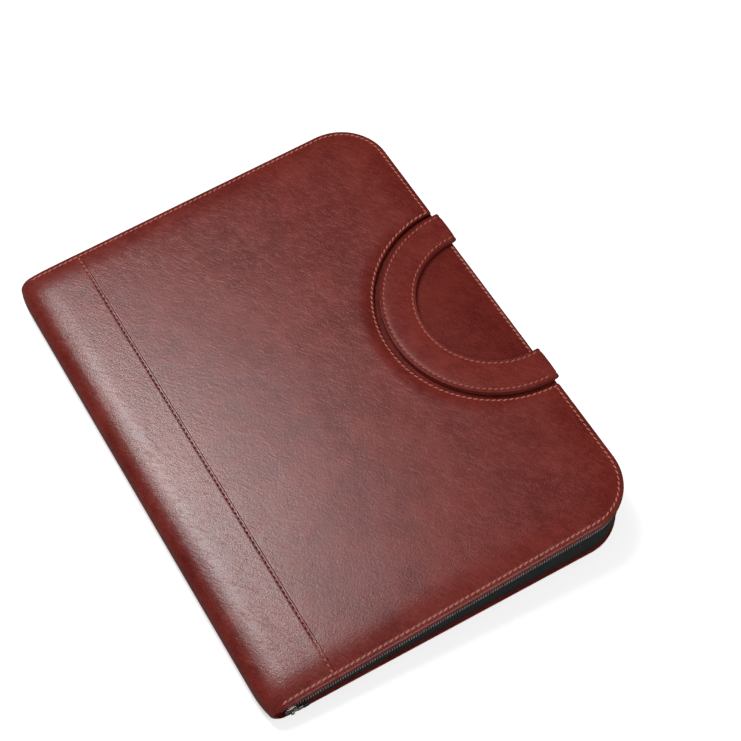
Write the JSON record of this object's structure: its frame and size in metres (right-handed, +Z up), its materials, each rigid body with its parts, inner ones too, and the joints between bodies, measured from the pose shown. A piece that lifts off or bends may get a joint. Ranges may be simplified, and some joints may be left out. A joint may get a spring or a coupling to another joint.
{
  "type": "zipped padfolio",
  "caption": "Zipped leather padfolio with a drop handle in each cover, a writing pad, document and card pockets and a pen loop, closed and lying flat.",
  "frame": {"origin": "centre of the bounding box's base; the back cover lies on the surface", "axes": "+X from the spine to the fore-edge, +Y along the spine to the head of the writing pad, +Z up through the front cover"},
  "size_m": [0.2628, 0.343, 0.0438],
  "materials": {
    "brown_leather": "smooth waxed, half gloss",
    "painted_edge": "layered, edge painted",
    "foam": "thin padding foam",
    "grey_board": "grey stiffening board",
    "black_lining": "fine woven lining cloth",
    "woven_tape": "ribbed woven zip tape",
    "nylon_coil": "black nylon coil",
    "nickel": "nickel plated",
    "grey_card": "grey card",
    "paper": "plain writing paper"
  },
  "bodies": {
    "back_cover": {"back_cover_leather": "brown_leather", "back_spine_panel": "brown_leather", "back_recess_leather": "brown_leather", "back_handle_tab_1": "brown_leather", "back_handle_tab_2": "brown_leather", "back_foam_pad": "foam", "back_filler_board": "grey_board", "back_base_board": "grey_board", "back_lining": "black_lining", "lower_zip_tape": "woven_tape", "lower_zip_coil": "nylon_coil", "notepad_sleeve": "black_lining", "notepad_backing": "grey_card", "notepad_sheets": "paper", "notepad_binding": "black_lining"},
    "spine": {"spine_leather": "brown_leather", "spine_stiffener": "grey_board", "spine_lining": "black_lining"},
    "front_cover": {"front_cover_leather": "brown_leather", "front_spine_panel": "brown_leather", "front_recess_leather": "brown_leather", "front_handle_tab_1": "brown_leather", "front_handle_tab_2": "brown_leather", "front_foam_pad": "foam", "front_filler_board": "grey_board", "front_base_board": "grey_board", "front_lining": "black_lining", "upper_zip_tape": "woven_tape", "upper_zip_coil": "nylon_coil", "document_pocket": "black_lining", "card_pocket_1": "black_lining", "card_pocket_2": "black_lining", "card_pocket_3": "black_lining", "pen_loop": "black_lining"},
    "front_handle": {"front_handle_leather": "brown_leather", "front_handle_core": "painted_edge", "front_handle_lining": "brown_leather"},
    "back_handle": {"back_handle_leather": "brown_leather", "back_handle_core": "painted_edge", "back_handle_lining": "brown_leather"},
    "slider": {"zip_slider": "nickel"},
    "pull": {"zip_pull": "nickel"}
  },
  "joints": [
    {"name": "spine_fold", "type": "hinge", "parent": "back_cover", "child": "spine", "pos_m": [-0.12844, 0.00095, 0.00293], "axis": [0, -1, 0], "range_deg": [0, 87.24]},
    {"name": "cover_fold", "type": "hinge", "parent": "spine", "child": "front_cover", "pos_m": [-0.12909, 0.00095, 0.01636], "axis": [0, -1, 0], "range_deg": [0, 87.24]},
    {"name": "front_handle_fold", "type": "hinge", "parent": "front_cover", "child": "front_handle", "pos_m": [0.12735, 0.00095, 0.04162], "axis": [0, 1, 0], "range_deg": [0, 178]},
    {"name": "back_handle_fold", "type": "hinge", "parent": "back_cover", "child": "back_handle", "pos_m": [0.12923, 0.00095, 0.0024], "axis": [0, -1, 0], "range_deg": [0, 178]},
    {"name": "zip_slide", "type": "slide", "parent": "front_cover", "child": "slider", "axis": [0.9954, 0, 0.096], "range_m": [0, 0.206]},
    {"name": "pull_turn", "type": "hinge", "parent": "slider", "child": "pull", "pos_m": [-0.11684, -0.17055, 0.00993], "axis": [0.096, 0, -0.9954], "range_deg": [0, 170]}
  ],
  "couplings": [
    {"joint": "spine_fold", "follows": "cover_fold", "ratio": 1}
  ]
}
